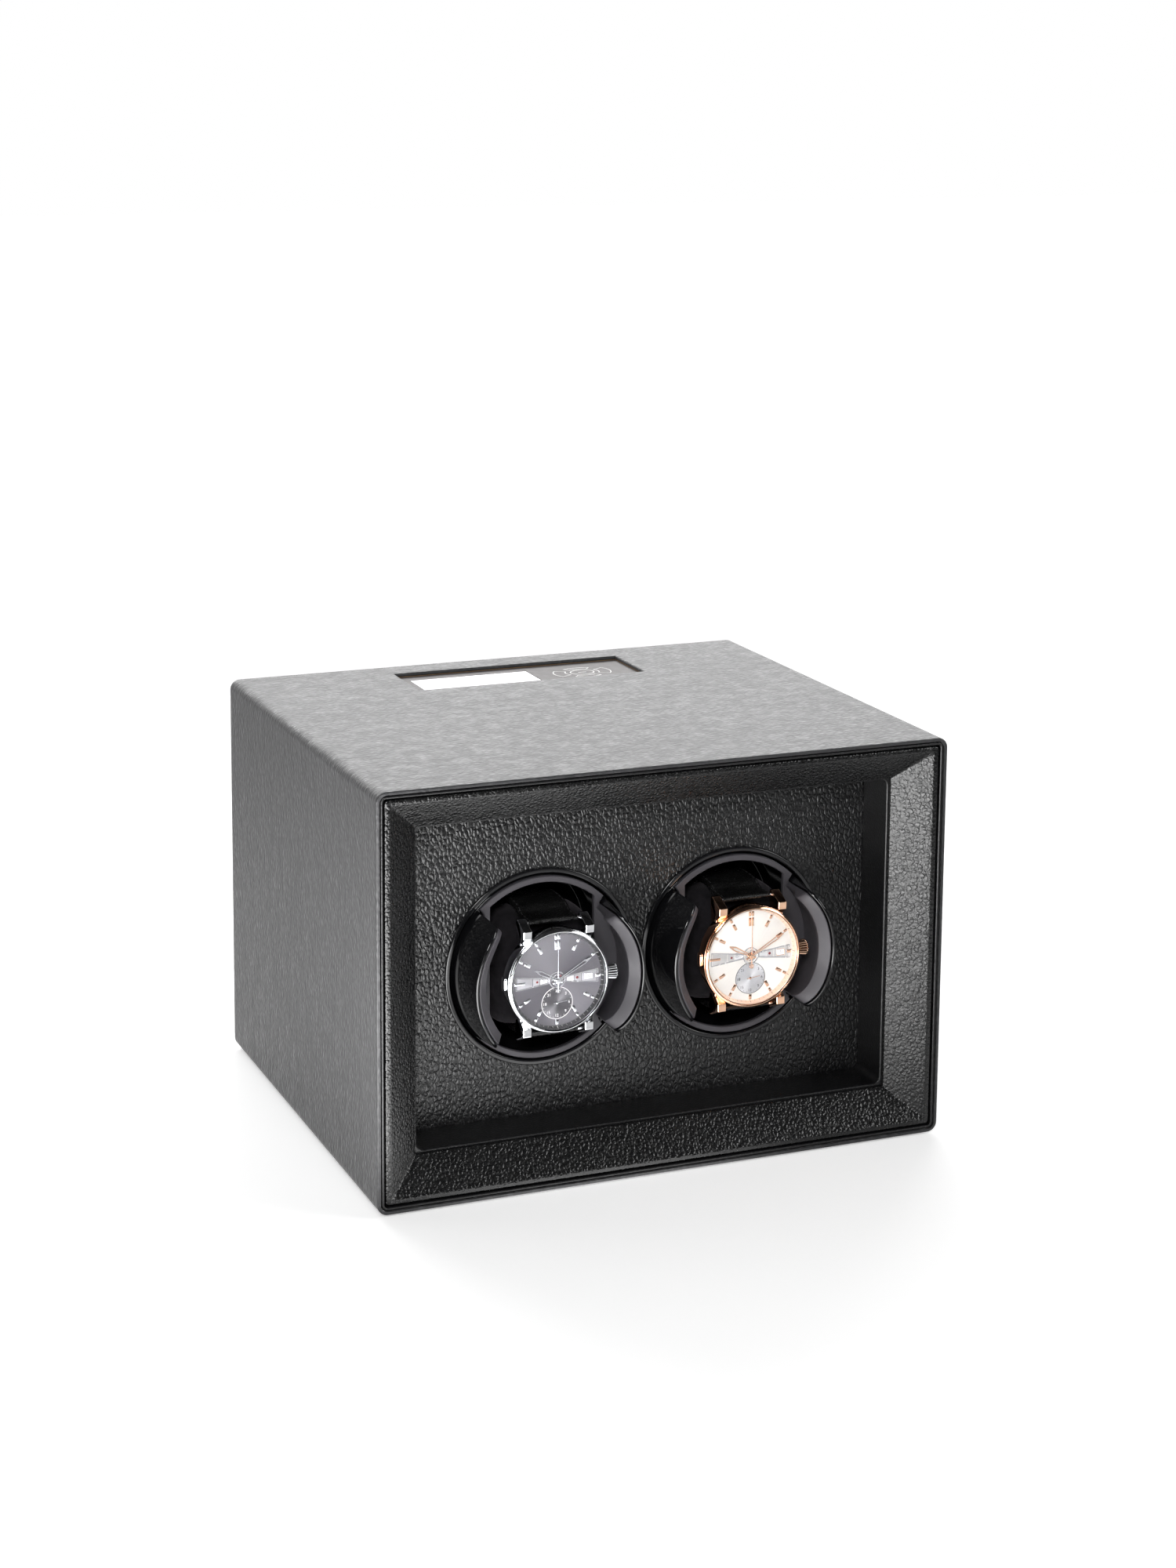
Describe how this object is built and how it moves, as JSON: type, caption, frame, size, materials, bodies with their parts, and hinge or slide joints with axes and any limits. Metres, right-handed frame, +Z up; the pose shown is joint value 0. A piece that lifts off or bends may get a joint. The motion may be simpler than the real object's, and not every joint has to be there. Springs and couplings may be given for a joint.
{
  "type": "watch winder box",
  "caption": "Leather-covered watch winder box with an open bevelled front, round rotors that turn watches on cushions, and a display let into the top.",
  "frame": {"origin": "on the surface the box stands on, under the middle of the case", "axes": "+X to the right seen from the open front, +Y from the open front to the back, +Z up"},
  "size_m": [0.26, 0.215, 0.18],
  "materials": {
    "case_leather": "fine grained black leather, satin",
    "frame_leather": "pebbled black leather, semi-gloss",
    "panel_leather": "pebbled black leather, satin",
    "liner_leather": "smooth black leather, satin",
    "carcass_board": "fibreboard, matt",
    "rear_board": "black, fine texture",
    "screw_steel": "blackened",
    "felt": "felt pad",
    "gloss_black": "piano black",
    "satin_grey": "soft-touch, satin",
    "steel": "turned",
    "bronze": "sintered",
    "belt_rubber": "matt",
    "pulley_plastic": "moulded",
    "motor_metal": "zinc plated",
    "circuit_board": "solder mask",
    "display_plate": "printed glass-like plate",
    "lcd_white": "lit display",
    "inlet_plastic": "moulded",
    "cushion_suede": "microfibre suede",
    "strap_leather": "embossed black leather, semi-gloss",
    "watch_steel": "polished steel",
    "watch_gold": "polished rose gold",
    "dial_grey": "sunray lacquer",
    "dial_white": "silvered lacquer",
    "hand_steel": "polished",
    "hand_gold": "polished",
    "crystal": "clear"
  },
  "bodies": {
    "case": {"leather_cover": "case_leather", "case_carcass": "carcass_board", "rear_panel": "rear_board", "rear_screw_1": "screw_steel", "rear_screw_2": "screw_steel", "rear_screw_3": "screw_steel", "rear_screw_4": "screw_steel", "front_bezel": "frame_leather", "piping_bead": "frame_leather", "cavity_liner": "liner_leather", "rotor_panel": "panel_leather", "motor_bulkhead": "carcass_board", "touch_panel": "display_plate", "lcd_display": "lcd_white", "display_board": "circuit_board", "control_board": "circuit_board", "dc_inlet": "inlet_plastic", "foot_1": "felt", "foot_2": "felt", "foot_3": "felt", "foot_4": "felt", "trim_ring_left": "gloss_black", "motor_left": "motor_metal", "belt_left": "belt_rubber", "bearing_left": "bronze", "trim_ring_right": "gloss_black", "motor_right": "motor_metal", "belt_right": "belt_rubber", "bearing_right": "bronze"},
    "rotor_left": {"drum_left": "gloss_black", "rim_ring_left": "satin_grey", "grip_west_left": "satin_grey", "grip_east_left": "satin_grey", "spindle_left": "steel"},
    "motor_shaft_left": {"motor_pulley_left": "pulley_plastic"},
    "holder_left": {"cushion_left": "cushion_suede", "watch_strap_left": "strap_leather", "watch_case_left": "watch_steel", "watch_dial_left": "dial_grey", "watch_crystal_left": "crystal"},
    "crown_left": {"watch_crown_left": "watch_steel"},
    "hour_hand_left": {"hour_hand_left": "hand_steel"},
    "minute_hand_left": {"minute_hand_left": "hand_steel"},
    "seconds_hand_left": {"seconds_hand_left": "hand_steel"},
    "rotor_right": {"drum_right": "gloss_black", "rim_ring_right": "satin_grey", "grip_west_right": "satin_grey", "grip_east_right": "satin_grey", "spindle_right": "steel"},
    "motor_shaft_right": {"motor_pulley_right": "pulley_plastic"},
    "holder_right": {"cushion_right": "cushion_suede", "watch_strap_right": "strap_leather", "watch_case_right": "watch_gold", "watch_dial_right": "dial_white", "watch_crystal_right": "crystal"},
    "crown_right": {"watch_crown_right": "watch_gold"},
    "hour_hand_right": {"hour_hand_right": "hand_gold"},
    "minute_hand_right": {"minute_hand_right": "hand_gold"},
    "seconds_hand_right": {"seconds_hand_right": "hand_gold"}
  },
  "joints": [
    {"name": "rotor_left_spin", "type": "hinge", "parent": "case", "child": "rotor_left", "pos_m": [-0.045, -0.0275, 0.087], "axis": [0, 1, 0], "continuous": true},
    {"name": "motor_left_spin", "type": "hinge", "parent": "case", "child": "motor_shaft_left", "pos_m": [-0.045, -0.0175, 0.045], "axis": [0, 1, 0], "continuous": true},
    {"name": "holder_left_pull", "type": "slide", "parent": "rotor_left", "child": "holder_left", "axis": [0, -1, 0], "range_m": [0, 0.075]},
    {"name": "crown_left_turn", "type": "hinge", "parent": "holder_left", "child": "crown_left", "pos_m": [-0.02, -0.08865, 0.087], "axis": [1, 0, 0], "continuous": true},
    {"name": "seconds_left_turn", "type": "hinge", "parent": "holder_left", "child": "seconds_hand_left", "pos_m": [-0.045, -0.0925, 0.087], "axis": [0, 1, 0], "continuous": true},
    {"name": "minute_left_turn", "type": "hinge", "parent": "holder_left", "child": "minute_hand_left", "pos_m": [-0.045, -0.0921, 0.087], "axis": [0, 1, 0], "continuous": true},
    {"name": "hour_left_turn", "type": "hinge", "parent": "holder_left", "child": "hour_hand_left", "pos_m": [-0.045, -0.0917, 0.087], "axis": [0, 1, 0], "continuous": true},
    {"name": "rotor_right_spin", "type": "hinge", "parent": "case", "child": "rotor_right", "pos_m": [0.045, -0.0275, 0.087], "axis": [0, 1, 0], "continuous": true},
    {"name": "motor_right_spin", "type": "hinge", "parent": "case", "child": "motor_shaft_right", "pos_m": [0.045, -0.0175, 0.045], "axis": [0, 1, 0], "continuous": true},
    {"name": "holder_right_pull", "type": "slide", "parent": "rotor_right", "child": "holder_right", "axis": [0, -1, 0], "range_m": [0, 0.075]},
    {"name": "crown_right_turn", "type": "hinge", "parent": "holder_right", "child": "crown_right", "pos_m": [0.07, -0.08865, 0.087], "axis": [1, 0, 0], "continuous": true},
    {"name": "seconds_right_turn", "type": "hinge", "parent": "holder_right", "child": "seconds_hand_right", "pos_m": [0.045, -0.0925, 0.087], "axis": [0, 1, 0], "continuous": true},
    {"name": "minute_right_turn", "type": "hinge", "parent": "holder_right", "child": "minute_hand_right", "pos_m": [0.045, -0.0921, 0.087], "axis": [0, 1, 0], "continuous": true},
    {"name": "hour_right_turn", "type": "hinge", "parent": "holder_right", "child": "hour_hand_right", "pos_m": [0.045, -0.0917, 0.087], "axis": [0, 1, 0], "continuous": true}
  ],
  "couplings": [
    {"joint": "motor_left_spin", "follows": "rotor_left_spin", "ratio": 3.5},
    {"joint": "minute_left_turn", "follows": "seconds_left_turn", "ratio": 0.016667},
    {"joint": "hour_left_turn", "follows": "seconds_left_turn", "ratio": 0.0013889},
    {"joint": "motor_right_spin", "follows": "rotor_right_spin", "ratio": 3.5},
    {"joint": "minute_right_turn", "follows": "seconds_right_turn", "ratio": 0.016667},
    {"joint": "hour_right_turn", "follows": "seconds_right_turn", "ratio": 0.0013889}
  ]
}
